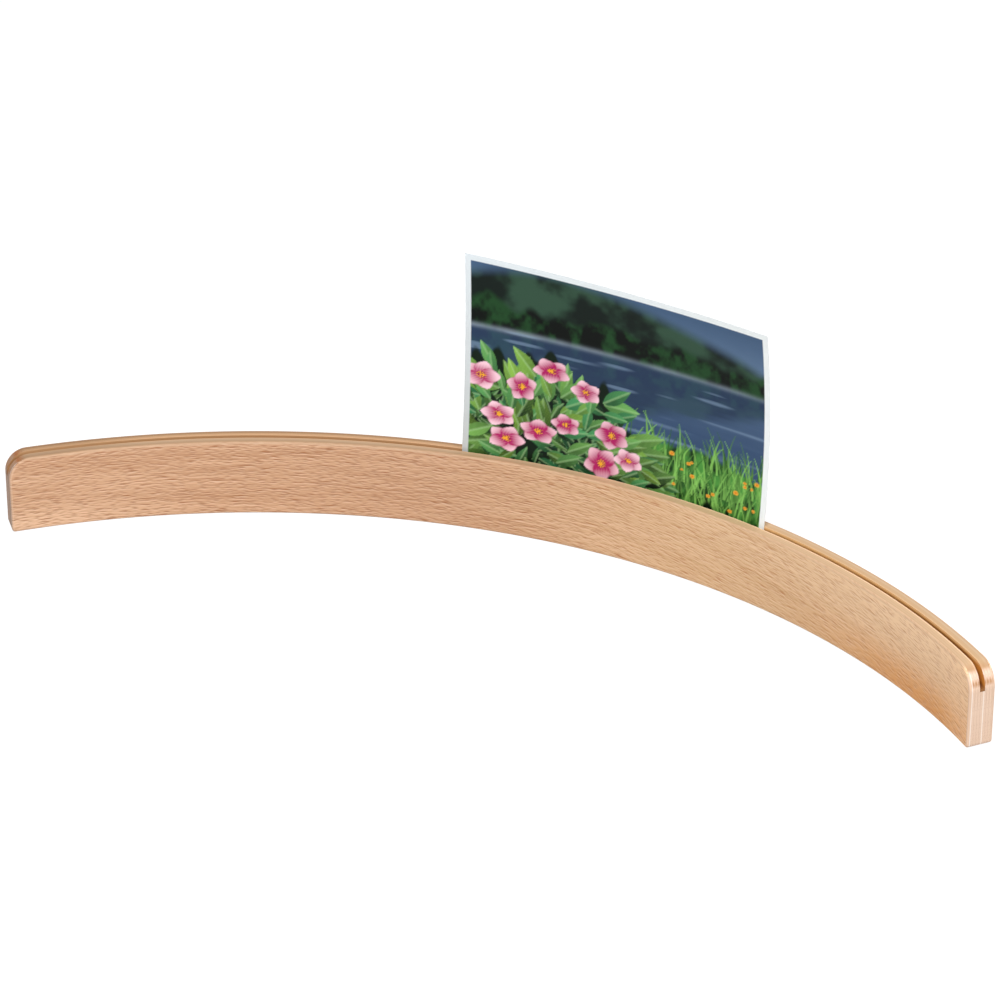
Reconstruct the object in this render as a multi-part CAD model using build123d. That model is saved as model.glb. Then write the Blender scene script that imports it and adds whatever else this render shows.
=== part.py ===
from build123d import *
import os
from math import asin, degrees, radians, sin

# Curved photo rail: a strip of beech veneers, glued up over a round former and stood on its long
# edge, with one narrow slot along its upper edge that holds a photo print by its foot.
# Millimetres. The origin is under the middle of the rail, halfway through its thickness.
# +X runs along the rail, +Y from its hollow front to its bulging back, +Z up.

# Rail
face_length = 500.0  # along the curve of the hollow front face
face_radius = 322.0  # of the hollow front face
rail_height = 35.8
veneer_count = 9
veneer_thickness = 1.35
end_cut = 4.0  # degrees off the radius at both ends, which shortens the bulging back a little
end_corner_radius = 10.0  # upper corners of both ends, rounded across the whole thickness
foot_corner_radius = 1.5  # lower corners of both ends
arris_radius = 0.9  # eased edges of the front and back faces

# Slot
slot_width = 2.4
slot_depth = 9.0  # to the lowest point of its round floor

# Print, a sheet of photo paper
print_width = 152.0
print_height = 102.0
print_thickness = 0.3
print_angle = 4.93  # where its foot's middle stands along the curve, in degrees towards +X
print_tilt = 0.6  # degrees, its +X side lower
foot_clearance = 0.6  # from the slot's floor up to the print's lower corner
wall_clearance = 0.45  # from the print's back to the slot's outer wall
grip_band = 8.0  # height of the foot's band that keeps the slot's curve
free_radius = 727.0  # radius that the sheet has sprung back to at its top edge
forward_lean = 5.8  # how far the top edge's middle leans towards the hollow
top_twist = 2.9  # degrees, how far the top edge turns to face -X
free_stations = 6  # sections above the band that the sheet's curve is drawn through

# Worked out from the sizes above
rail_thickness = veneer_count * veneer_thickness
slot_radius = face_radius + rail_thickness / 2
half_angle = degrees(face_length / face_radius) / 2
slot_floor = rail_height - slot_depth
foot_radius = slot_radius + slot_width / 2 - wall_clearance - print_thickness / 2
widest_arris = 0.9 * veneer_thickness
curve_centre = (0, -slot_radius)


def curved_band(centre, inner_radius, outer_radius, inner_half, outer_half):
    """Flat face between two arcs about a centre, symmetric about +Y, with half the sweep of each in degrees."""
    hollow = CenterArc(centre, inner_radius, 90 - inner_half, 2 * inner_half)
    bulge = CenterArc(centre, outer_radius, 90 - outer_half, 2 * outer_half)
    ends = [Line(hollow @ 0, bulge @ 0), Line(hollow @ 1, bulge @ 1)]
    return make_face([hollow, bulge, *ends])


def end_angle(radius):
    """Degrees from +Y to where the leaning plane of an end, which starts at the front face, meets a radius."""
    return half_angle - end_cut + degrees(asin(face_radius * sin(radians(end_cut)) / radius))


def bent_strip(inner_radius):
    """One veneer in its place round the curve, with the corners of its two ends rounded."""
    outer_radius = inner_radius + veneer_thickness
    halves = end_angle(inner_radius), end_angle(outer_radius)
    plan = curved_band(curve_centre, inner_radius, outer_radius, *halves)
    strip = extrude(plan, rail_height, dir=(0, 0, 1))
    end_edges = strip.edges().filter_by(GeomType.LINE)
    strip = fillet(end_edges.filter_by_position(Axis.Z, rail_height, rail_height), end_corner_radius)
    end_edges = strip.edges().filter_by(GeomType.LINE)
    return fillet(end_edges.filter_by_position(Axis.Z, 0, 0), foot_corner_radius)


def slot_cutter():
    """Ring about the curve's centre with a round-bottomed section: the path of the tool that cuts the slot."""
    inner_wall = slot_radius - slot_width / 2
    outer_wall = slot_radius + slot_width / 2
    floor_ends = slot_floor + slot_width / 2
    clear_above = rail_height + slot_width
    walls = Polyline(
        (outer_wall, floor_ends),
        (outer_wall, clear_above),
        (inner_wall, clear_above),
        (inner_wall, floor_ends),
    )
    floor = ThreePointArc(walls @ 1, (slot_radius, slot_floor), walls @ 0)
    ring = revolve(Plane.XZ * make_face([walls, floor]), Axis.Z, 360)
    return Pos(*curve_centre) * ring


def veneers():
    """All layers of the rail by name, from front to back, with the slot cut into those that it reaches."""
    cutter = slot_cutter()
    arris = min(arris_radius, widest_arris)
    layers = {}
    for layer in range(veneer_count):
        inner_radius = face_radius + layer * veneer_thickness
        strip = bent_strip(inner_radius)
        hollow_wall, bulging_wall = strip.faces().filter_by(GeomType.CYLINDER).sort_by(SortBy.AREA)[-2:]
        name = f"core_veneer_{layer}"
        if layer == 0:
            name = "front_face_veneer"
            strip = fillet(hollow_wall.edges(), arris)
        elif layer == veneer_count - 1:
            name = "back_face_veneer"
            strip = fillet(bulging_wall.edges(), arris)
        if abs(inner_radius + veneer_thickness / 2 - slot_radius) < (veneer_thickness + slot_width) / 2:
            strip -= cutter
        layers[name] = strip
    return layers


def print_section(rise):
    """Slice across the sheet at a height above its foot: an arc as long as the sheet is wide, bulging to +Y.

    Above the band in the slot the curve eases to the free radius, and the slice leans and turns
    with the square of its height.
    """
    freed = max(0.0, (rise - grip_band) / (print_height - grip_band))
    eased = 1 - (1 - freed) ** 2
    radius = 1 / ((1 - eased) / foot_radius + eased / free_radius)
    half_sweep = degrees(print_width / radius) / 2
    half_sheet = print_thickness / 2
    band = curved_band((0, -radius), radius - half_sheet, radius + half_sheet, half_sweep, half_sweep)
    turned = Rot(0, 0, -top_twist * freed**2) * band
    return Pos(0, -forward_lean * freed**2, rise) * turned


def photo_print():
    """The sheet, lofted from its foot up, tilted about its foot's middle and stood in the slot."""
    free_height = print_height - grip_band
    rises = [grip_band + free_height * k / (free_stations - 1) for k in range(free_stations)]
    sheet = loft([print_section(rise) for rise in [0.0, *rises]])
    half_chord = foot_radius * sin(print_width / 2 / foot_radius)
    foot_height = slot_floor + foot_clearance + half_chord * sin(radians(print_tilt))
    standing = Pos(0, foot_radius, foot_height) * Rot(0, print_tilt, 0) * sheet
    return Pos(*curve_centre) * Rot(0, 0, -print_angle) * standing


os.makedirs("parts", exist_ok=True)
for name, solid in {**veneers(), "photo_print": photo_print()}.items():
    export_step(solid, f"parts/{name}.step")
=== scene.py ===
from math import radians, sin

import bpy
import numpy as np
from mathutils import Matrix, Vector


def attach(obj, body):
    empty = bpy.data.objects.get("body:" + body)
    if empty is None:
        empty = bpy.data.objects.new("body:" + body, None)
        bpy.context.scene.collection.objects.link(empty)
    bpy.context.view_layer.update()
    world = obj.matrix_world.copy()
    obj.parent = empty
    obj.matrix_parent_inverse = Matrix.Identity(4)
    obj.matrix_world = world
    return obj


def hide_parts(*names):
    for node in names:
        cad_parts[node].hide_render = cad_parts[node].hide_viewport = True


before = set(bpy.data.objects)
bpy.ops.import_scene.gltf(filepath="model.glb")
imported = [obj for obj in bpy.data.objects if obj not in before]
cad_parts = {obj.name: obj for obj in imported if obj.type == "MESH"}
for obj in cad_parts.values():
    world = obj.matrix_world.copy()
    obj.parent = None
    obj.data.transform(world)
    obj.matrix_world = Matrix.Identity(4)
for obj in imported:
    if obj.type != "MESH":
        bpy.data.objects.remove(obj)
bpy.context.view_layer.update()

# Curved photo rail: nine beech veneers bent and glued into one strip that stands on its long edge,
# with a photo print standing in the slot along the strip's upper edge.
# Sizes in millimetres, the same as in the part's source. Meshes are written in metres.
MM = 0.001
face_length = 500.0  # along the curve of the hollow front face
face_radius = 322.0  # of the hollow front face
rail_height = 35.8
veneer_count = 9
veneer_thickness = 1.35
end_cut = 4.0  # degrees that each end's cut leans off the radius
end_corner_radius = 10.0
foot_corner_radius = 1.5
arris_radius = 0.9
slot_width = 2.4
slot_depth = 9.0

print_width = 152.0
print_height = 102.0
print_thickness = 0.3
print_angle = 4.93  # where its foot's middle stands along the curve, in degrees to the right
print_tilt = 0.6  # degrees, its right side lower
foot_clearance = 0.6  # from the slot's floor up to the print's lower corner
wall_clearance = 0.45  # from the print's back to the slot's outer wall
grip_band = 8.0  # height of the foot's band that keeps the slot's curve
free_radius = 727.0  # radius that the sheet has sprung back to at its top edge
forward_lean = 5.8  # how far the top edge's middle leans towards the hollow
top_twist = 2.9  # degrees, how far the top edge turns to face the left
print_border = 2.6

half_angle = face_length / face_radius / 2
slot_radius = face_radius + veneer_count * veneer_thickness / 2
slot_floor = rail_height - slot_depth
slot_inner = slot_radius - slot_width / 2
slot_outer = slot_radius + slot_width / 2
floor_spring = slot_floor + slot_width / 2  # height at which the slot's round floor meets its walls
foot_radius = slot_outer - wall_clearance - print_thickness / 2

# Mesh density
corner_columns = 24  # in each rounded end corner
straight_columns = 200  # between the end corners
face_rows = 16
arris_steps = 6
floor_steps = 6
ink_pitch = 0.5  # size of the print's cells, about one pixel of a close picture
back_rows = 12
sharp_angle = 35  # degrees between two faces, past which their edge is drawn sharp

# Sockets of a colour Mix node: its share, the colours under and over, and the mixed colour that it gives.
SHARE, UNDER, OVER, MIXED = 0, 6, 7, 2

# Shapes of a ramp
EASED, STRAIGHT = "SMOOTHSTEP", "LINEAR"


def linear(colour):
    """A hex sRGB colour as linear red, green, blue and alpha."""
    channels = np.array([int(colour[k:k + 2], 16) for k in (1, 3, 5)]) / 255
    low, high = channels / 12.92, ((channels + 0.055) / 1.055) ** 2.4
    return (*np.where(channels <= 0.04045, low, high).tolist(), 1.0)


def add(tree, kind, inputs=None, **settings):
    """Adds a node. Settings are its properties, and inputs its sockets: values or other nodes' outputs."""
    node = tree.nodes.new(kind)
    for name, value in settings.items():
        setattr(node, name, value)
    for socket, value in (inputs or {}).items():
        if isinstance(value, bpy.types.NodeSocket):
            tree.links.new(value, node.inputs[socket])
        else:
            node.inputs[socket].default_value = value
    return node


def new_material(name):
    """An empty node material and its tree."""
    material = bpy.data.materials.new(name)
    material.use_nodes = True
    material.node_tree.nodes.clear()
    return material, material.node_tree


# Surfaces


def rail_columns(inset, radius, cap):
    """The rail's side outline at one depth, as columns from its left end to its right.

    The outline is a rectangle drawn in by inset on every side, with its upper corners on quarter
    circles of the end corner radius and its lower ones of the foot corner radius, both less inset.
    Column k of a corner stands at radius * (1 - cos(angle k)) from the end, where the head has dropped
    by radius * (1 - sin(angle k)). Both ends lie on upright planes that lean off the radius by the end cut.
    Nothing reaches higher than cap.
    Gives each column's angle about the curve's centre, its foot and head height, and how far the
    outline's upper and lower edges face along the rail, from 0 to 1.
    """
    head_radius = end_corner_radius - inset
    foot_corner = foot_corner_radius - inset
    turn = np.linspace(0, np.pi / 2, corner_columns + 1)
    from_end = head_radius * (1 - np.cos(turn))
    drop = head_radius * (1 - np.sin(turn))
    into_foot = np.clip(foot_corner - from_end, 0, None)
    rise = foot_corner - np.sqrt(foot_corner**2 - into_foot**2)
    cut = radians(end_cut)
    end_angle = half_angle - cut + np.arcsin(face_radius * sin(cut) / radius)
    left = -end_angle + (inset + from_end) / radius
    middle = np.linspace(left[-1], -left[-1], straight_columns + 1)[1:-1]
    level = np.zeros_like(middle)
    angle = np.concatenate([left, middle, -left[::-1]])
    foot = inset + np.concatenate([rise, level, rise[::-1]])
    head = rail_height - inset - np.concatenate([drop, level, drop[::-1]])
    upper_facing = np.concatenate([np.cos(turn), level, np.cos(turn)[::-1]])
    lower_facing = np.concatenate([into_foot, level, into_foot[::-1]]) / foot_corner
    return angle, foot, np.minimum(head, cap), upper_facing, lower_facing


def veneer_section(layer):
    """One layer's section as steps from its hollow side to its bulging side: inset, radius and cap of each.

    The arris of a face veneer is a quarter circle: inset falls as 1 - sin and depth grows as 1 - cos.
    Where the slot cuts in, the cap falls to the round floor, spring - sqrt(half width^2 - offset^2).
    """
    hollow = face_radius + layer * veneer_thickness
    bulge = hollow + veneer_thickness
    full = rail_height
    turn = np.linspace(0, np.pi / 2, arris_steps + 1)
    inset, depth = arris_radius * (1 - np.sin(turn)), arris_radius * (1 - np.cos(turn))
    ease = np.stack([inset, depth, 0 * turn + full], axis=1)
    if layer == 0:
        return np.concatenate([ease + [0, hollow, 0], [[0, bulge, full]]])
    if layer == veneer_count - 1:
        back = ease[::-1] * [1, -1, 1] + [0, bulge, 0]
        return np.concatenate([[[0, hollow, full]], back])
    start, end = max(hollow, slot_inner), min(bulge, slot_outer)
    if start >= end:
        return np.array([[0, hollow, full], [0, bulge, full]])
    radii = np.linspace(start, end, floor_steps + 1)
    caps = floor_spring - np.sqrt(np.clip((slot_width / 2) ** 2 - (radii - slot_radius) ** 2, 0, None))
    floor = np.stack([0 * radii, radii, caps], axis=1)
    front = [[0, hollow, full], [0, start, full]] if hollow < start else []
    back = [[0, end, full], [0, bulge, full]] if end < bulge else []
    return np.concatenate([np.reshape(front, (-1, 3)), floor, np.reshape(back, (-1, 3))])


def quads(a, b):
    """Faces between two rows of vertex numbers of the same length."""
    return np.stack([a[:-1], a[1:], b[1:], b[:-1]], axis=1)


def sheet_faces(numbers):
    """Faces of a grid of vertex numbers."""
    corners = [numbers[:-1, :-1], numbers[1:, :-1], numbers[1:, 1:], numbers[:-1, 1:]]
    return np.stack(corners, axis=-1).reshape(-1, 4)


def rim(numbers):
    """Vertex numbers round a grid: up the left end, along the head, down the right end, along the foot."""
    return np.concatenate([numbers[0, :-1], numbers[:-1, -1], numbers[-1, :0:-1], numbers[::-1, 0]])


def veneer_surface(layer):
    """Closed surface of one veneer: its faces as grids and, between their rims, a ring per section step.

    A point at angle a, radius r and height z stands at (r sin a, r cos a - slot radius, z).
    Gives points, faces, each face's material number (0 face, 1 edge, 2 slot) and the points' grain
    coordinates: millimetres along the curve, up, and into the veneer, and how much end grain shows.
    """
    section = veneer_section(layer)
    middle_radius = face_radius + (layer + 0.5) * veneer_thickness
    t = np.linspace(0, 1, face_rows + 1)
    points, grain, facing, grids = [], [], [], []
    count = 0
    for inset, radius, cap in section:
        angle, foot, head, upper, lower = rail_columns(inset, radius, cap)
        z = foot[:, None] + (head - foot)[:, None] * t
        a = np.broadcast_to(angle[:, None], z.shape)
        points.append(np.stack([radius * np.sin(a), radius * np.cos(a) - slot_radius, z], axis=-1))
        depth = np.full_like(z, radius - face_radius - layer * veneer_thickness)
        grain.append(np.stack([a * middle_radius, z, depth], axis=-1))
        ends = np.zeros_like(z)
        ends[:, 0] = lower
        ends[:, -1] = upper
        ends[[0, -1], :] = 1
        facing.append(ends)
        grids.append(count + np.arange(z.size).reshape(z.shape))
        count += z.size
    rims = [rim(g) for g in grids]
    along_head = np.zeros(len(rims[0]) - 1, bool)
    along_head[face_rows:face_rows + len(grids[0]) - 1] = True
    faces = [sheet_faces(grids[0]), sheet_faces(grids[-1])[:, ::-1]]
    kinds = [np.zeros(len(faces[0]), int), np.zeros(len(faces[1]), int)]
    for k in range(len(section) - 1):
        in_slot = section[k:k + 2, 2].min() < rail_height
        eased = section[k:k + 2, 0].max() > 0
        faces.append(quads(rims[k], rims[k + 1]))
        kinds.append(np.where(along_head & in_slot, 2, 0 if eased else 1))
    points = np.concatenate([p.reshape(-1, 3) for p in points])
    grain = np.concatenate([g.reshape(-1, 3) for g in grain])
    facing = np.concatenate([f.ravel() for f in facing])
    return points, np.concatenate(faces), np.concatenate(kinds), grain, facing


def sheet_point(across, up, side):
    """A point of the print from its place on the flat sheet: across from the middle and up from the foot.

    The side is -0.5 on the front and 0.5 on the back. Each height is an arc that bulges to the back. Its
    radius goes from the slot's at the grip band to the free radius at the top, through the curvatures' mean,
    while it leans and turns with the height squared. The sheet is then tilted in its own plane, stood in the
    slot and turned to its place along the curve.
    """
    freed = np.clip((up - grip_band) / (print_height - grip_band), 0, None)
    eased = 1 - (1 - freed) ** 2
    radius = 1 / ((1 - eased) / foot_radius + eased / free_radius)
    reach = radius + side * print_thickness
    x, y = reach * np.sin(across / radius), reach * np.cos(across / radius) - radius
    twist = np.radians(top_twist) * freed**2
    x, y = x * np.cos(twist) + y * np.sin(twist), y * np.cos(twist) - x * np.sin(twist)
    y = y - forward_lean * freed**2
    tilt, turn = radians(print_tilt), radians(print_angle)
    x, z = x * np.cos(tilt) + up * np.sin(tilt), up * np.cos(tilt) - x * np.sin(tilt)
    y = y + foot_radius
    z = z + slot_floor + foot_clearance + foot_radius * sin(print_width / 2 / foot_radius) * sin(tilt)
    x, y = x * np.cos(turn) + y * np.sin(turn), y * np.cos(turn) - x * np.sin(turn)
    return np.stack([x, y - slot_radius, z], axis=-1)


def weld(points, faces, kinds):
    """Merges points at the same place, and drops the corners and faces that fall together with that.

    Gives the numbers of the points that stay, the faces as lists and each face's material number.
    """
    _, kept, merged = np.unique(np.round(points, 6), axis=0, return_index=True, return_inverse=True)
    faces = merged.reshape(-1)[faces]
    different = faces != np.roll(faces, 1, axis=1)
    whole = different.sum(axis=1) >= 3
    lists = [face[own].tolist() for face, own in zip(faces[whole], different[whole])]
    return kept, lists, kinds[whole]


def make_piece(name, points, faces, materials, kinds, body, node):
    """A mesh piece from points in millimetres, riding on a body and standing for a CAD node."""
    mesh = bpy.data.meshes.new(name)
    mesh.from_pydata((points * MM).tolist(), [], faces)
    for material in materials:
        mesh.materials.append(material)
    mesh.polygons.foreach_set("material_index", kinds.astype(np.int32))
    mesh.polygons.foreach_set("use_smooth", np.ones(len(faces), bool))
    mesh.update()
    mesh.set_sharp_from_angle(angle=radians(sharp_angle))
    piece = bpy.data.objects.new(name, mesh)
    bpy.context.scene.collection.objects.link(piece)
    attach(piece, body)
    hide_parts(node)
    return mesh


def write_attribute(mesh, name, kind, field, values):
    """Stores one value per vertex under a name that the materials read."""
    layer = mesh.attributes.new(name, kind, "POINT")
    layer.data.foreach_set(field, np.ascontiguousarray(values, dtype=np.float32).ravel())


# Materials


def figure(tree, place, size, detail, depth=0):
    """The wood's figure: a noise stretched to a size in millimetres per axis, where 0 leaves the axis out.

    The depth moves the cut through the noise, which gives another figure of the same size.
    """
    scale = tuple(1 / length if length else 0 for length in size)
    stretched = add(
        tree, "ShaderNodeVectorMath", {0: place, 1: scale, 2: (0, 0, depth)}, operation="MULTIPLY_ADD"
    )
    noise = add(tree, "ShaderNodeTexNoise", {"Vector": stretched.outputs[0], "Scale": 1, "Detail": detail})
    return noise.outputs


def grain_dashes(tree, place, most):
    """Covers of the long and the short dashes along the grain, each up to most.

    A long dash, 5 by 0.3 mm, lies where a noise stretched to that size is high. The short ones are spread
    evenly, one in the middle of each cell of a Voronoi pattern whose cells are stretched to 6.8 by 0.8 mm.
    """
    high_spots = figure(tree, place, (5.0, 0.3, 0), 0, 3.5)["Fac"]
    cell_scale = (1 / 6.8, 1 / 0.8, 0)
    stretched = add(tree, "ShaderNodeVectorMath", {0: place, 1: cell_scale}, operation="MULTIPLY").outputs[0]
    cells = add(tree, "ShaderNodeTexVoronoi", {"Vector": stretched, "Scale": 1}, voronoi_dimensions="2D")
    return [
        add(
            tree, "ShaderNodeMapRange",
            {"Value": value, "From Min": edge, "From Max": middle, "To Min": 0, "To Max": most},
            interpolation_type=EASED,
        ).outputs[0]
        for value, edge, middle in ((high_spots, 0.56, 0.8), (cells.outputs["Distance"], 0.3, 0))
    ]


def beech_face():
    """Steamed beech veneer, rotary cut, sanded and sealed with clear matt lacquer.

    The eye sees a pinkish tan that turns yellower and paler towards the right, where the paleness is partly
    painted light, and orange low down there, with soft bands along the grain, fine fibres and a close scatter
    of thin dark dashes with painted highlights on their lower lips.
    """
    material, tree = new_material("beech face veneer, matt lacquer")
    grain = add(tree, "ShaderNodeAttribute", attribute_name="grain").outputs["Vector"]
    ends = add(tree, "ShaderNodeAttribute", attribute_name="end_grain").outputs["Fac"]
    along, up = add(tree, "ShaderNodeSeparateXYZ", {0: grain}).outputs[:2]

    # Ramps over the face: what is read, where the ramp starts and ends, what it gives there, and its shape.
    # Along and up are in millimetres, from the rail's middle and from its foot.
    ramps = {
        "grain falls": (along, 20, 250, 0, 27, STRAIGHT),
        "right": (along, -70, 90, 0, 1, EASED),
        "far right": (along, 110, 215, 0, 0.75, EASED),
        "low": (up, 25, 5, 0, 1, EASED),
        "far left": (along, -150, -235, 0, 0.6, EASED),
        "near foot": (up, 17, 3, 0, 1, EASED),
        "towards right end": (along, 80, 200, 0, 0.55, EASED),
        "high": (up, 5, 34, 0, 1.5, STRAIGHT),
        "next to right end": (along, 222, 250, 0, 0.45, EASED),
        "dashes": (along, -60, 130, 0.76, 0.54, EASED),
        "upper edge": (up, rail_height - 1.2, rail_height - 0.4, 0, 0.7, EASED),
        "end edges": (ends, 0.55, 0.85, 0, 1, EASED),
        "end edges clearer": (along, -200, 200, 0.4, 1, STRAIGHT),
    }
    ramp = {
        name: add(
            tree, "ShaderNodeMapRange",
            {"Value": value, "From Min": start, "From Max": end, "To Min": first, "To Max": last},
            interpolation_type=shape,
        ).outputs[0]
        for name, (value, start, end, first, last, shape) in ramps.items()
    }
    heart, left_pale, painted_light_high_right, end_edges = (
        add(tree, "ShaderNodeMath", {0: ramp[one], 1: ramp[other]}, operation="MULTIPLY").outputs[0]
        for one, other in (
            ("far right", "low"),
            ("far left", "near foot"),
            ("towards right end", "high"),
            ("end edges", "end edges clearer"),
        )
    )

    # The grain wanders up and down a little over 45 mm, and towards the right end it falls.
    wander = 1.7
    drift = figure(tree, grain, (45, 14, 0), 0)["Color"]
    fall = add(tree, "ShaderNodeCombineXYZ", {"Y": ramp["grain falls"]}).outputs[0]
    falling = add(tree, "ShaderNodeVectorMath", {0: grain, 1: fall}, operation="ADD").outputs[0]
    flow = add(
        tree, "ShaderNodeVectorMath", {0: drift, 1: (0, wander, 0), 2: falling}, operation="MULTIPLY_ADD"
    ).outputs[0]

    # Broad bands about 160 mm long and 7 mm high, and fibres about 45 mm by 0.4 mm, which weigh more.
    bands = figure(tree, flow, (160, 7, 0), 3)["Fac"]
    fibres = figure(tree, flow, (45, 0.4, 0), 2)["Fac"]
    streaks = add(tree, "ShaderNodeMath", {0: fibres, 1: 1.5, 2: bands}, operation="MULTIPLY_ADD").outputs[0]
    paleness = add(
        tree, "ShaderNodeMapRange",
        {"Value": streaks, "From Min": 0.85, "From Max": 1.65, "To Min": 0, "To Max": 1},
    ).outputs[0]

    # Dashes: long dark ones and short dark ones, each row set off from the next and clearest at the left.
    # Under each one a pale lip is painted as the highlight that its lower lip catches.
    row_shift = 4  # millimetres along the grain for each millimetre up
    lip_drop = 0.7  # millimetres
    lip_cover = 0.46
    rows = add(tree, "ShaderNodeSeparateXYZ", {0: flow}).outputs[1]
    staggered = add(
        tree, "ShaderNodeVectorMath", {0: rows, 1: (row_shift, 0, 0), 2: flow}, operation="MULTIPLY_ADD"
    ).outputs[0]
    lips = add(
        tree, "ShaderNodeVectorMath", {0: staggered, 1: (row_shift * lip_drop, lip_drop, 0)}, operation="ADD"
    ).outputs[0]
    long_dark, short_dark = grain_dashes(tree, staggered, ramp["dashes"])
    long_lips, short_lips = grain_dashes(tree, lips, lip_cover)
    painted_lip_highlights = add(tree, "ShaderNodeMath", {0: long_lips, 1: short_lips}, operation="MAXIMUM").outputs[0]

    # Tones that change from the left to the right: dark wood, pale wood and the brown of the dashes.
    # They grow lighter towards the right partly by painted light.
    dark, pale, brown = (
        add(
            tree, "ShaderNodeMix", {SHARE: ramp["right"], UNDER: linear(at_left), OVER: linear(at_right)},
            data_type="RGBA",
        ).outputs[MIXED]
        for at_left, at_right in (("#ba8a67", "#d1a578"), ("#deb391", "#f2cfa7"), ("#97592e", "#b2600a"))
    )

    # Laid over the dark wood: the pale wood, the orange heartwood low on the right, paler wood low on the
    # left, painted light high on the right and next to the right end, the dashes, painted shade that gives
    # the upper edge a greyer tone, and the end grain that shows on the eased edges of the two ends.
    colour = dark
    for cover, tone in (
        (paleness, pale),
        (heart, linear("#e0974b")),
        (left_pale, linear("#eec6a4")),
        # Painted light: paler wood high on the right and next to the right end.
        (painted_light_high_right, linear("#fdd8b0")),
        (ramp["next to right end"], linear("#ffd2a4")),
        # Painted highlights on the lower lips of the dashes.
        (painted_lip_highlights, linear("#f4d8bc")),
        (short_dark, brown),
        (long_dark, brown),
        # Painted shade: a greyer tone that holds down the light on the eased upper edge.
        (ramp["upper edge"], linear("#c6a384")),
        (end_edges, linear("#e2bfa4")),
    ):
        colour = add(
            tree, "ShaderNodeMix", {SHARE: cover, UNDER: colour, OVER: tone}, data_type="RGBA"
        ).outputs[MIXED]
    relief = add(tree, "ShaderNodeBump", {"Strength": 0.03, "Distance": 0.04 * MM, "Height": fibres})
    shader = add(
        tree, "ShaderNodeBsdfPrincipled",
        {
            "Base Color": colour, "Roughness": 0.5, "IOR": 1.5, "Specular IOR Level": 0.2,
            "Normal": relief.outputs[0],
        },
    )
    add(tree, "ShaderNodeOutputMaterial", {"Surface": shader.outputs[0]})
    return material


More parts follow.
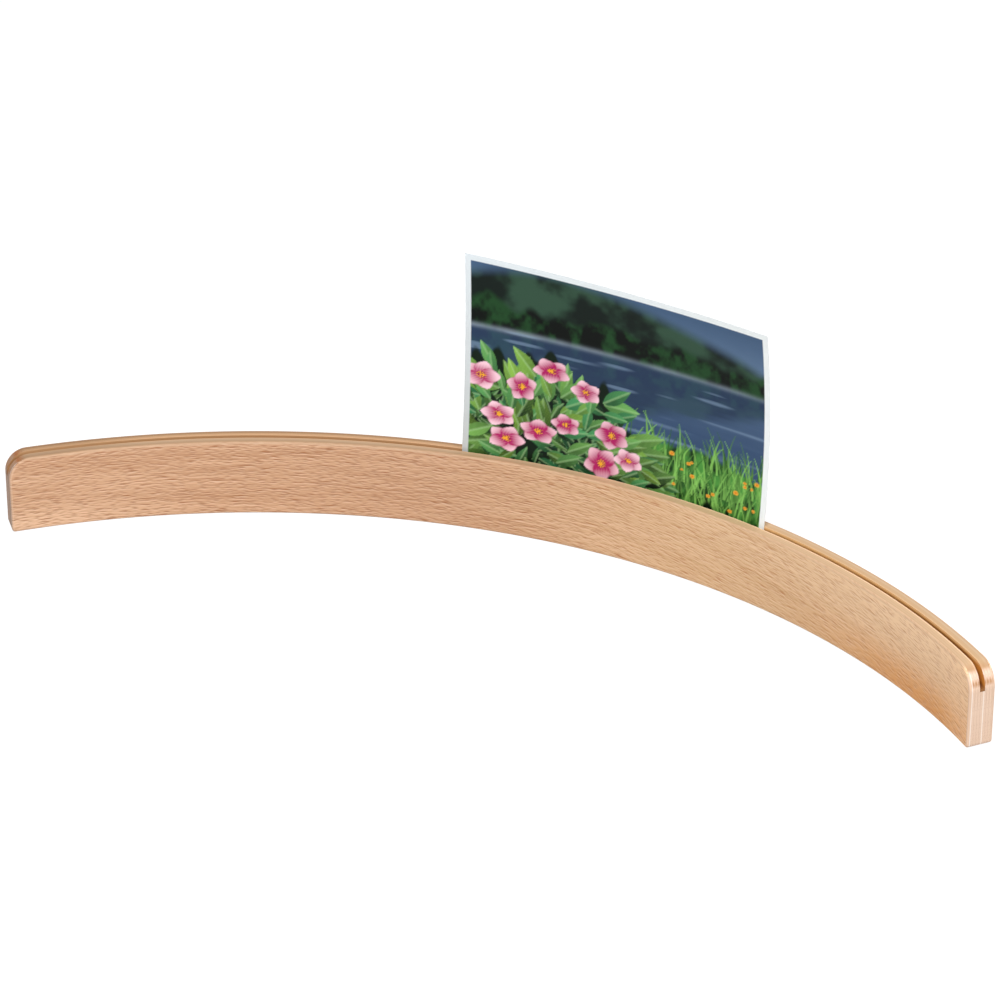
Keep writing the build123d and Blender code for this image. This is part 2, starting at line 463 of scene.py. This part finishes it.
def ply_edge(name, long_grain, left_grain, front_joint, back_joint):
    """The sanded edge of one beech veneer, lacquered: long grain above and below, end grain at the ends.

    Along the rail the eye sees fine streaks between faint glue lines, darker towards the left and near the
    left end, which is partly painted shade. The rounded corners are redder, most of all towards the left,
    where the red-brown is partly painted shade. The ends show pale pink end grain with upright lines and open
    pores, browner at the left by painted shade. A joint is given as its colour there, its reach into this
    veneer in millimetres and how far it covers the wood.
    """
    material, tree = new_material(name)
    grain = add(tree, "ShaderNodeAttribute", attribute_name="grain").outputs["Vector"]
    ends = add(tree, "ShaderNodeAttribute", attribute_name="end_grain").outputs["Fac"]
    along, up, into = add(tree, "ShaderNodeSeparateXYZ", {0: grain}).outputs

    # Long grain has streaks about 30 mm long and 0.4 mm wide, read along the curve and into the veneer.
    # End grain has upright lines 0.3 mm apart and 10 mm long, and pores of about 0.9 by 0.5 mm.
    streaks = figure(tree, grain, (30, 0, 0.4), 3)["Fac"]
    lines = figure(tree, grain, (0, 10, 0.3), 2)["Fac"]
    pores = figure(tree, grain, (0, 0.9, 0.5), 1)["Fac"]

    # Broken sanding marks cross the ends, low on their rounded upper corners.
    marks_height = rail_height - end_corner_radius + 3.8
    over_marks = add(tree, "ShaderNodeMath", {0: up, 1: marks_height}, operation="SUBTRACT").outputs[0]
    off_marks = add(tree, "ShaderNodeMath", {0: over_marks}, operation="ABSOLUTE").outputs[0]
    breaks = figure(tree, grain, (0, 3, 1.1), 1)["Fac"]

    # Ramps over the edge: what is read, where the ramp starts and ends, what it gives there, and its shape.
    ramps = {
        "streaks": (streaks, 0.35, 0.7, 0, 0.35, STRAIGHT),
        "left": (along, 110, -60, 0, 1, EASED),
        "left end": (along, -185, -225, 0, 0.3, EASED),
        "rounding": (ends, 0.15, 0.55, 0, 1, EASED),
        "lacquer": (along, -200, 200, 0.95, 0.3, STRAIGHT),
        "pores": (pores, 0.58, 0.75, 0, 0.5, STRAIGHT),
        "sanding": (off_marks, 1.9, 0.4, 0, 0.8, STRAIGHT),
        "unbroken": (breaks, 0.42, 0.62, 0.1, 1, STRAIGHT),
        "end grain": (ends, 0.5, 0.72, 0, 1, EASED),
    }
    ramp = {
        name: add(
            tree, "ShaderNodeMapRange",
            {"Value": value, "From Min": start, "From Max": end, "To Min": first, "To Max": last},
            interpolation_type=shape,
        ).outputs[0]
        for name, (value, start, end, first, last, shape) in ramps.items()
    }
    left_end_shade_share = 0.7
    tinted_and_shaded, painted_left_end_shade, scored = (
        add(tree, "ShaderNodeMath", {0: one, 1: other}, operation="MULTIPLY").outputs[0]
        for one, other in (
            (ramp["rounding"], ramp["lacquer"]),
            (ramp["left"], left_end_shade_share),
            (ramp["sanding"], ramp["unbroken"]),
        )
    )

    # Long grain: streaked, darker at the left and redder at the corners, both partly painted shade at the
    # left.
    # End grain: lined, pored, browner at the left by painted shade, and scored by the sanding.
    woods = []
    for wood, layers in (
        (long_grain, (
            # Partly painted shade: darker at the left, darker still near the left end, and redder on the
            # corners.
            (ramp["streaks"], "#c9a37c"), (ramp["left"], left_grain),
            (ramp["left end"], "#7d5a3c"), (tinted_and_shaded, "#ad6b3f"),
        )),
        ("#dbb89d", (
            (lines, "#f4dac6"), (ramp["pores"], "#c29c80"),
            # Painted shade: the end grain at the left end browned.
            (painted_left_end_shade, "#9c6a42"), (scored, "#b57e4e"),
        )),
    ):
        wood = linear(wood)
        for cover, tone in layers:
            wood = add(
                tree, "ShaderNodeMix", {SHARE: cover, UNDER: wood, OVER: linear(tone)}, data_type="RGBA"
            ).outputs[MIXED]
        woods.append(wood)
    colour = add(
        tree, "ShaderNodeMix", {SHARE: ramp["end grain"], UNDER: woods[0], OVER: woods[1]}, data_type="RGBA"
    ).outputs[MIXED]

    # Glue lines where the veneer meets its neighbours.
    for (joint, reach, cover), side, inwards in ((front_joint, 0, 1), (back_joint, veneer_thickness, -1)):
        start, end = side + inwards * reach, side + inwards * reach / 4
        line = add(
            tree, "ShaderNodeMapRange",
            {"Value": into, "From Min": start, "From Max": end, "To Min": 0, "To Max": cover},
        ).outputs[0]
        glue = add(
            tree, "ShaderNodeMix",
            {SHARE: ramp["end grain"], UNDER: linear("#c39d76"), OVER: linear(joint)}, data_type="RGBA",
        ).outputs[MIXED]
        colour = add(
            tree, "ShaderNodeMix", {SHARE: line, UNDER: colour, OVER: glue}, data_type="RGBA"
        ).outputs[MIXED]
    shader = add(
        tree, "ShaderNodeBsdfPrincipled",
        {"Base Color": colour, "Roughness": 0.55, "IOR": 1.5, "Specular IOR Level": 0.15},
    )
    add(tree, "ShaderNodeOutputMaterial", {"Surface": shader.outputs[0]})
    return material


def sawn_slot():
    """Beech as the grooving saw left it, with painted shade down in the groove.

    The eye sees pale orange at the mouth that painted shade turns darker and deeper orange within two
    millimetres down and darker still deep down on the right, and a darker brown floor, all duller at the
    left.
    """
    material, tree = new_material("sawn beech, slot")
    grain = add(tree, "ShaderNodeAttribute", attribute_name="grain").outputs["Vector"]
    along, up = add(tree, "ShaderNodeSeparateXYZ", {0: grain}).outputs[:2]
    saw_marks = figure(tree, grain, (3, 0.8, 0), 3)["Fac"]

    # Ramps over the walls: what is read, where the ramp starts and ends, what it gives there, and its shape.
    ramps = {
        "left": (along, 110, -60, 0, 1, EASED),
        "below the mouth": (up, rail_height - 0.2, rail_height - 2.0, 0, 1, STRAIGHT),
        "off the left end": (along, -225, -185, 0.4, 1, STRAIGHT),
        "deep": (up, rail_height - 0.6, rail_height - 2.0, 0, 1, STRAIGHT),
        "off the right end": (along, 249, 238, 0, 1, STRAIGHT),
        "floor": (up, slot_floor + 1.4, slot_floor + 0.4, 0, 1, STRAIGHT),
    }
    ramp = {
        name: add(
            tree, "ShaderNodeMapRange",
            {"Value": value, "From Min": start, "From Max": end, "To Min": first, "To Max": last},
            interpolation_type=shape,
        ).outputs[0]
        for name, (value, start, end, first, last, shape) in ramps.items()
    }
    # Painted shade in the groove: darker with depth below the mouth, and darker still deep down on the right.
    tinted_and_shaded = add(
        tree, "ShaderNodeMath", {0: ramp["below the mouth"], 1: ramp["off the left end"]},
        operation="MULTIPLY",
    ).outputs[0]
    on_right = add(
        tree, "ShaderNodeMath", {0: ramp["off the right end"], 1: ramp["left"]}, operation="SUBTRACT",
        use_clamp=True,
    ).outputs[0]
    painted_deep_shade = add(tree, "ShaderNodeMath", {0: ramp["deep"], 1: on_right}, operation="MULTIPLY").outputs[0]

    # Saw marks, duller at the left, then painted shade: darker and more orange below the mouth and darker
    # still deeper down on the right up to a little before the open end; and a darker brown along the floor.
    colour = linear("#fbc684")
    for cover, tone, blend in (
        (saw_marks, "#ffdca2", "MIX"),
        (ramp["left"], "#c09468", "MIX"),
        (tinted_and_shaded, "#d3ad6f", "MULTIPLY"),
        (painted_deep_shade, "#a0896c", "MULTIPLY"),
        (ramp["floor"], "#8a5826", "MIX"),
    ):
        colour = add(
            tree, "ShaderNodeMix", {SHARE: cover, UNDER: colour, OVER: linear(tone)},
            data_type="RGBA", blend_type=blend,
        ).outputs[MIXED]
    shader = add(tree, "ShaderNodeBsdfPrincipled", {"Base Color": colour, "Roughness": 0.6, "IOR": 1.5})
    add(tree, "ShaderNodeOutputMaterial", {"Surface": shader.outputs[0]})
    return material


def photo_paper():
    """Resin-coated photo paper with a lustre surface: dyes in a clear layer over a bluish-white base.

    The eye sees clear colours under a soft sheen that a stipple of about 0.8 mm breaks up.
    """
    material, tree = new_material("photo paper")
    dyes = add(tree, "ShaderNodeAttribute", attribute_name="ink").outputs["Color"]
    place = add(tree, "ShaderNodeTexCoord").outputs["Object"]
    stipple = add(tree, "ShaderNodeTexNoise", {"Vector": place, "Scale": 1 / (0.8 * MM), "Detail": 1})
    relief = add(
        tree, "ShaderNodeBump", {"Strength": 0.08, "Distance": 0.03 * MM, "Height": stipple.outputs["Fac"]}
    )
    shader = add(
        tree, "ShaderNodeBsdfPrincipled",
        {
            "Base Color": dyes, "Roughness": 0.3, "IOR": 1.5, "Specular IOR Level": 0.1,
            "Normal": relief.outputs[0],
        },
    )
    add(tree, "ShaderNodeOutputMaterial", {"Surface": shader.outputs[0]})
    return material


# The rail

# Long grain of each veneer from the front to the back: at the right, and at the left, where the darker tones
# are partly painted shade.
edge_tones = [
    ("#d2b090", "#b48f6e"),
    ("#cdac8a", "#b49374"),
    ("#d0ae8a", "#bf9f80"),
    ("#eecaa4", "#cca986"),
    ("#d0a67a", "#c9a079"),
    ("#d6b087", "#dbae84"),
    ("#c9a680", "#c89e78"),
    ("#ccae8c", "#ab8460"),
    ("#bd9b7e", "#8e6b4a"),
]

# Joint k lies behind veneer k. The outermost one would fall on the eased edges, which have the face's finish.
pale_joint = ("#fff4ec", 0.32, 0.75)
faint_joint = ("#cfa98c", 0.2, 0.5)
pale_places = (0, veneer_count // 2)  # behind the front veneer and behind the middle one
joints = [pale_joint if k in pale_places else faint_joint for k in range(veneer_count)]
face_finish = beech_face()
slot_finish = sawn_slot()
for layer in range(veneer_count):
    name = f"core_veneer_{layer}"
    if layer in (0, veneer_count - 1):
        name = "back_face_veneer" if layer else "front_face_veneer"
    edge_finish = ply_edge(f"beech ply edge {layer}", *edge_tones[layer], joints[layer - 1], joints[layer])
    finishes = [face_finish, edge_finish, slot_finish]
    points, faces, kinds, grain, facing = veneer_surface(layer)
    kept, faces, kinds = weld(points, faces, kinds)
    mesh = make_piece(f"bent_{name}", points[kept], faces, finishes, kinds, "rail", name)
    write_attribute(mesh, "grain", "FLOAT_VECTOR", "vector", grain[kept])
    write_attribute(mesh, "end_grain", "FLOAT", "value", facing[kept])


# The print


def lattice_noise(x, y, seed):
    """Smooth noise from 0 to 1: random values on a square lattice, eased between lattice points."""
    size = 64
    values = np.random.default_rng(seed).random((size, size))
    column, row = np.floor(x).astype(int), np.floor(y).astype(int)
    fx, fy = x - column, y - row
    fx, fy = fx * fx * (3 - 2 * fx), fy * fy * (3 - 2 * fy)
    c0, c1, r0, r1 = column % size, (column + 1) % size, row % size, (row + 1) % size
    low = values[c0, r0] * (1 - fx) + values[c1, r0] * fx
    high = values[c0, r1] * (1 - fx) + values[c1, r1] * fx
    return low * (1 - fy) + high * fy


def cloud(x, y, seed, octaves=5):
    """Lattice noise added at doubling frequency and halving weight, from 0 to 1."""
    total = sum(lattice_noise(x * 2**k, y * 2**k, seed + k) / 2**k for k in range(octaves))
    return total / (2 - 2 / 2**octaves)


def step(value, low, high):
    """Eased step from 0 at low to 1 at high."""
    t = np.clip((value - low) / (high - low), 0, 1)
    return t * t * (3 - 2 * t)


def tint(weight, under, over):
    """Lays one colour over another by a weight from 0 to 1."""
    weight = np.asarray(weight)[..., None]
    return under * (1 - weight) + over * weight


def ink(colour):
    """A hex colour as a linear array."""
    return np.array(linear(colour)[:3])


def near(x, y, place, reach):
    """Slices of the picture's grid within reach of a place."""
    columns = np.flatnonzero(np.abs(x[:, 0] - place[0]) < reach)
    rows = np.flatnonzero(np.abs(y[0] - place[1]) < reach)
    return tuple(slice(part.min(initial=0), part.max(initial=-1) + 1) for part in (columns, rows))


def far_bank(x, y):
    """Out-of-focus wooded hills under a slate sky, for points of the picture above the water line."""
    picture = tint(step(y, 0.6, 1.1), ink("#6d87a6"), ink("#3f5878"))
    hill = 0.9 + 0.16 * np.sin(x * 2.3 + 0.4) * (0.6 + 0.4 * lattice_noise(x * 3, 0 * x, 7))
    leafage = cloud(x * 7, y * 8, 11, 4)
    slope = tint(step(leafage, 0.3, 0.7), ink("#0f1a16"), ink("#34503f"))
    picture = tint(step(hill - y, -0.03, 0.05), picture, slope)
    wood = 0.73 + 0.11 * cloud(x * 3.1 + 1.7, 0 * x, 23, 3) + 0.05 * lattice_noise(x * 13, 0 * x, 24)
    crowns = tint(step(cloud(x * 17, y * 15, 27, 4), 0.35, 0.7), ink("#030805"), ink("#1f4424"))
    return tint(step(wood - y, -0.02, 0.03), picture, crowns)


def lake_and_hills(x, y):
    """The far bank with the lake under it, which mirrors it through ripples that grow towards the foot."""
    shore = 0.68
    picture = far_bank(x, y)
    ripple = (lattice_noise(x * 7, y * 70, 31) - 0.5) * step(shore - y, 0, 0.5)
    mirrored = far_bank(x + 0.05 * ripple, 2 * shore - y + 0.09 * ripple + 0.02)
    water = tint(0.62 + 0.16 * ripple, mirrored, ink("#34496a"))
    water = tint(0.5 * step(lattice_noise(x * 4, y * 46, 35), 0.66, 0.9), water, ink("#7f98b4"))
    picture = tint(step(shore - y, -0.006, 0.006), picture, water)
    mist = np.exp(-(((y - shore) / 0.013) ** 2)) * (0.1 + 0.5 * cloud(x * 5, 0 * x, 37))
    return tint(mist, picture, ink("#a9b9c6"))


def draw_leaf(picture, x, y, root, angle, length, tone, yellow):
    """Lays a pointed, veined leaf over the picture: its half width is 0.2 sin(pi t^0.8) of its length."""
    part = near(x, y, root, length)
    dx, dy = x[part] - root[0], y[part] - root[1]
    along = (dx * np.cos(angle) + dy * np.sin(angle)) / length
    side = (dy * np.cos(angle) - dx * np.sin(angle)) / length
    half = 0.2 * np.sin(np.pi * np.clip(along, 0, 1) ** 0.8)
    cover = step(half - np.abs(side), -0.01, 0.02) * (along > 0) * (along < 1)
    veins = step(np.cos(2 * np.pi * (8 * along - 14 * np.abs(side))), 0.55, 1)
    light = np.clip(tone + 0.1 * np.sign(side) + 0.3 * (along - 0.5) + 0.08 * veins, 0, 1)
    blade = tint(light, ink("#06170d"), tint(yellow, ink("#4fae72"), ink("#9fcf55")))
    rib = step(0.03 - np.abs(side), -0.02, 0.02)
    picture[part] = tint(cover, picture[part], tint(0.3 * rib, blade, ink("#b9e0a0")))


def draw_petal(picture, x, y, middle, size, angle, squash, tone):
    """Lays one petal over the picture: its half width is 0.5 sin(pi t^0.75)^0.6 of its length."""
    part = near(x, y, middle, 1.1 * size)
    dx, dy = (x[part] - middle[0]) / size, (y[part] - middle[1]) / size / squash
    along = dx * np.cos(angle) + dy * np.sin(angle)
    side = dy * np.cos(angle) - dx * np.sin(angle)
    half = 0.5 * np.sin(np.pi * np.clip(along, 0, 1) ** 0.75) ** 0.6
    cover = step(half - np.abs(side), -0.02, 0.06) * (along > 0) * (along < 1)
    edge = step(np.abs(side) / np.maximum(half, 0.01), 0.7, 1)
    light = step(along, 0.1, 1.0) + tone - 0.3 * edge + 0.12 * np.cos(side * 45) * (1 - along) + 0.25 * side
    petal = tint(np.clip(light, 0, 1), ink("#b02462"), ink("#fbcfdc"))
    picture[part] = tint(cover, picture[part], petal)


def draw_flower(picture, x, y, middle, size, turn, squash, tone):
    """Lays a five-petalled flower over the picture, with a ring of golden stamens in a dark red throat."""
    for angle in turn + np.array([0, 2, 4, 1, 3]) * 2 * np.pi / 5:
        draw_petal(picture, x, y, middle, size, angle, squash, tone)
    part = near(x, y, middle, 0.5 * size)
    dx, dy = (x[part] - middle[0]) / size, (y[part] - middle[1]) / size / squash
    reach, angle = np.hypot(dx, dy), np.arctan2(dy, dx)
    picture[part] = tint(0.8 * step(0.3 - reach, 0, 0.15), picture[part], ink("#8d1545"))
    stamens = step(0.2 + 0.1 * np.cos(11 * angle) - reach, 0, 0.08)
    picture[part] = tint(stamens, picture[part], ink("#f2ad33"))


def draw_blade(picture, x, y, foot, height, bend, width, colour):
    """Lays a blade of grass over the picture: a tapering stroke that bends with the square of its height."""
    part = near(x, y, (foot[0] + bend / 2, foot[1] + height / 2), max(height, abs(bend)))
    up = (y[part] - foot[1]) / height
    side = x[part] - foot[0] - bend * np.clip(up, 0, 1) ** 2
    cover = step(width * (1 - up) + 0.001 - np.abs(side), -0.003, 0.003) * (up > 0) * (up < 1)
    picture[part] = tint(cover, picture[part], colour)


def shrub_edge(x):
    """Height of the shrub's top over the picture's foot: half an ellipse with two waves on it."""
    dome = np.sqrt(np.clip(1 - ((x - 0.3) / 0.62) ** 2, 0, 1))
    return 0.55 * dome + 0.05 * np.sin(x * 21) + 0.04 * np.sin(x * 47 + 1)


def lakeside_picture(x, y):
    """A plain landscape for the print: a lake under wooded hills, a grassy bank and a flowering shrub.

    x runs from 0 to the picture's width over its height, y from 0 at its foot to 1. Things are laid over
    each other from back to front, each by a cover worked out from distances and noise.
    """
    picture = lake_and_hills(x, y)
    draws = np.random.default_rng(61)

    # The bank with its blades of grass, the far ones first, and its small orange flowers.
    bank = 0.24 + 0.05 * np.sin(x * 4.2 + 3.4) + 0.05 * cloud(x * 6, 0 * x, 51)
    turf = tint(step(cloud(x * 22, y * 16, 53, 4), 0.3, 0.7), ink("#12300f"), ink("#4f9440"))
    picture = tint(step(bank - y, -0.01, 0.02), picture, turf)
    for row in np.linspace(0.27, -0.12, 420):
        foot = (draws.uniform(0.5, 1.56), row + draws.uniform(-0.02, 0.02))
        green = tint(draws.uniform(0, 1), ink("#1c4a18"), ink("#8ccb62"))
        height, bend = draws.uniform(0.08, 0.2), draws.uniform(-0.07, 0.07)
        draw_blade(picture, x, y, foot, height, bend, draws.uniform(0.003, 0.007), green)
    for _ in range(26):
        middle = (draws.uniform(0.85, 1.5), draws.uniform(0.03, 0.27))
        part = near(x, y, middle, 0.03)
        gap = np.hypot(x[part] - middle[0], 1.3 * (y[part] - middle[1])) / draws.uniform(0.009, 0.017)
        bloom = tint(np.clip(gap, 0, 1), ink("#d9631c"), ink("#f6c445"))
        picture[part] = tint(step(1 - gap, 0, 0.3), picture[part], bloom)

    # The shrub: its shade, dim leaves behind, lit leaves that fan out in front, and the flowers.
    inside = shrub_edge(x) - y + 0.05 * cloud(x * 14, y * 14, 71, 3)
    picture = tint(step(inside, 0, 0.03), picture, ink("#0a1a0d"))
    behind = np.random.default_rng(62)
    for _ in range(170):
        px = behind.uniform(-0.08, 0.88)
        root = (px, shrub_edge(px) * behind.uniform(-0.15, 0.8))
        light, yellow = behind.uniform(0.05, 0.22), behind.uniform(0, 0.6)
        draw_leaf(picture, x, y, root, behind.uniform(0, 2 * np.pi), behind.uniform(0.1, 0.17), light, yellow)
    for _ in range(210):
        px = draws.uniform(-0.08, 0.92)
        py = shrub_edge(px) * draws.uniform(-0.15, 0.92)
        angle = np.arctan2(py - 0.1, px - 0.3) + draws.uniform(-0.9, 0.9)
        light = draws.uniform(0.05, 0.45) + 0.35 * np.clip(py / 0.55, 0, 1)
        draw_leaf(picture, x, y, (px, py), angle, draws.uniform(0.1, 0.19), light, draws.uniform(0, 1))
    for px, height in zip(np.linspace(0.05, 0.8, 11), draws.permutation(np.linspace(0.22, 0.95, 11))):
        place = (px + draws.uniform(-0.02, 0.02), shrub_edge(px) * height)
        size = draws.uniform(0.075, 0.105)
        turn, squash = draws.uniform(0, 6), draws.uniform(0.6, 0.95)
        draw_flower(picture, x, y, place, size, turn, squash, draws.uniform(-0.15, 0.15))
    return np.clip(picture, 0, 1)


def print_surface():
    """Closed sheet: a fine grid in front, a grid with fewer rows behind, and the cut edges between them.

    Gives points, faces as lists, and how far across and up the flat sheet each point of the front lies.
    """
    columns = round(print_width / ink_pitch)
    rows = round(print_height / ink_pitch)
    stations = np.linspace(-print_width / 2, print_width / 2, columns + 1)
    across, up = np.meshgrid(stations, np.linspace(0, print_height, rows + 1), indexing="ij")
    coarse = np.linspace(0, rows, back_rows + 1).round().astype(int)
    front = sheet_point(across, up, -0.5)
    back = sheet_point(across[:, coarse], up[:, coarse], 0.5)
    front_numbers = np.arange(across.size).reshape(across.shape)
    back_numbers = across.size + np.arange(back.shape[0] * back.shape[1]).reshape(back.shape[:2])
    four_sided = np.concatenate([
        sheet_faces(front_numbers),
        sheet_faces(back_numbers)[:, ::-1],
        quads(front_numbers[:, -1], back_numbers[:, -1]),
        quads(back_numbers[:, 0], front_numbers[:, 0]),
    ])
    cut_sides = []
    for end, order in ((0, 1), (-1, -1)):
        for k in range(back_rows):
            fine = front_numbers[end, coarse[k]:coarse[k + 1] + 1]
            side = np.concatenate([fine, back_numbers[end, [k + 1, k]]])
            cut_sides.append(side[::order].tolist())
    points = np.concatenate([front.reshape(-1, 3), back.reshape(-1, 3)])
    return points, four_sided.tolist() + cut_sides, across, up


def print_colours(across, up):
    """Colours of the print's front: the picture inside a white border.

    The border is painted with light and shade: brightest along its right side and a duller white towards its
    left foot.
    """
    picture_width = print_width - 2 * print_border
    picture_height = print_height - 2 * print_border
    from_left = across + print_width / 2 - print_border
    from_foot = up - print_border
    picture = lakeside_picture(from_left / picture_height, from_foot / picture_height)
    inside = (from_left > 0) & (from_left < picture_width) & (from_foot > 0) & (from_foot < picture_height)
    # Painted light and shade on the border: brighter towards the right, duller towards the left foot.
    rightward = across / print_width + 0.5
    border = tint(rightward, ink("#e4ecf0"), ink("#f4f9f9"))
    painted_shade_at_left_foot = (1 - rightward) ** 4 * (1 - up / print_height)
    border = tint(painted_shade_at_left_foot, border, ink("#bec0be"))
    return tint(inside.astype(float), border, picture)


points, faces, across, up = print_surface()
kinds = np.zeros(len(faces))
mesh = make_piece(
    "photo_print_sheet", points, faces, [photo_paper()], kinds, "print", "photo_print"
)
front_colours = print_colours(across, up).reshape(-1, 3)
back_colours = np.broadcast_to(ink("#e9eeee"), (len(points) - across.size, 3))
print_ink = np.concatenate([front_colours, back_colours])
write_attribute(mesh, "ink", "FLOAT_COLOR", "color", np.c_[print_ink, np.ones(len(print_ink))])


# Floor, light and camera


def backdrop_seen(tree):
    """Whether a ray shows the backdrop: it comes from the camera, or by way of a mirror or through glass."""
    path = add(tree, "ShaderNodeLightPath").outputs
    seen = path["Is Camera Ray"]
    for other in ("Is Glossy Ray", "Is Transmission Ray"):
        seen = add(tree, "ShaderNodeMath", {0: seen, 1: path[other]}, operation="MAXIMUM").outputs[0]
    return seen


def studio_floor():
    """White paper sweep: a pale matt floor that the camera sees as white, with the object's soft shadow."""
    material, tree = new_material("white paper sweep")
    pale = add(tree, "ShaderNodeBsdfDiffuse", {"Color": linear("#b8b8b8")})
    shaded = add(tree, "ShaderNodeBsdfDiffuse", {"Color": linear("#8c8c8c")})
    white = add(tree, "ShaderNodeEmission", {"Color": linear("#ffffff"), "Strength": 0.86})
    lit = add(tree, "ShaderNodeAddShader", {0: shaded.outputs[0], 1: white.outputs[0]})
    mix = add(tree, "ShaderNodeMixShader", {0: backdrop_seen(tree), 1: pale.outputs[0], 2: lit.outputs[0]})
    add(tree, "ShaderNodeOutputMaterial", {"Surface": mix.outputs[0]})
    return material


# The rest of the scene is in metres. The floor lies a little under the rail, so that the two share no plane.
floor_reach = 6.0
floor_height = -0.0002
floor_sides = ((-1, -1), (1, -1), (1, 1), (-1, 1))
floor_corners = [(x * floor_reach, y * floor_reach, floor_height) for x, y in floor_sides]
floor_mesh = bpy.data.meshes.new("floor")
floor_mesh.from_pydata(floor_corners, [], [(0, 1, 2, 3)])
floor_mesh.materials.append(studio_floor())
floor = bpy.data.objects.new("floor", floor_mesh)
bpy.context.scene.collection.objects.link(floor)

# A room that is dim on the left and brighter on the right, behind a white backdrop.
world = bpy.data.worlds.new("studio")
bpy.context.scene.world = world
world.use_nodes = True
sky = world.node_tree
sky.nodes.clear()
way = add(sky, "ShaderNodeSeparateXYZ", {0: add(sky, "ShaderNodeTexCoord").outputs["Generated"]})
level = add(
    sky, "ShaderNodeMapRange",
    {"Value": way.outputs[0], "From Min": -0.7, "From Max": 0.7, "To Min": 0.06, "To Max": 0.54},
)
room = add(sky, "ShaderNodeBackground", {"Color": linear("#ffffff"), "Strength": level.outputs[0]})
backdrop = add(sky, "ShaderNodeBackground", {"Color": linear("#ffffff"), "Strength": 1.0})
sky_mix = add(sky, "ShaderNodeMixShader", {0: backdrop_seen(sky), 1: room.outputs[0], 2: backdrop.outputs[0]})
add(sky, "ShaderNodeOutputWorld", {"Surface": sky_mix.outputs[0]})


def face_towards(thing, target):
    """Turns a lamp or the camera to face a point."""
    thing.rotation_euler = (Vector(target) - thing.location).to_track_quat("-Z", "Y").to_euler()


def soft_box(name, place, size, power):
    """A square area light that faces the object's middle."""
    middle = (0, -0.05, 0.04)
    light = bpy.data.lights.new(name, "AREA")
    light.size = size
    light.energy = power
    lamp = bpy.data.objects.new(name, light)
    lamp.location = place
    face_towards(lamp, middle)
    bpy.context.scene.collection.objects.link(lamp)


soft_box("front_soft_box", (0.05, -0.8, 0.95), 0.5, 11.5)
soft_box("right_soft_box", (0.95, -0.4, 0.7), 0.5, 4.6)
soft_box("back_soft_box", (0.5, 1.2, 0.4), 0.6, 7.0)

# The camera stands to the right of the rail's middle and looks down on it, as in the photograph.
camera_data = bpy.data.cameras.new("camera")
camera_data.lens = 154.98
camera_data.sensor_width = 36.0
camera = bpy.data.objects.new("camera", camera_data)
camera.location = (0.68681, -1.55569, 0.90734)
picture_centre = (-0.03018, 0.0, 0.01262)
face_towards(camera, picture_centre)
bpy.context.scene.collection.objects.link(camera)
bpy.context.scene.camera = camera
bpy.context.scene.view_settings.view_transform = "Standard"
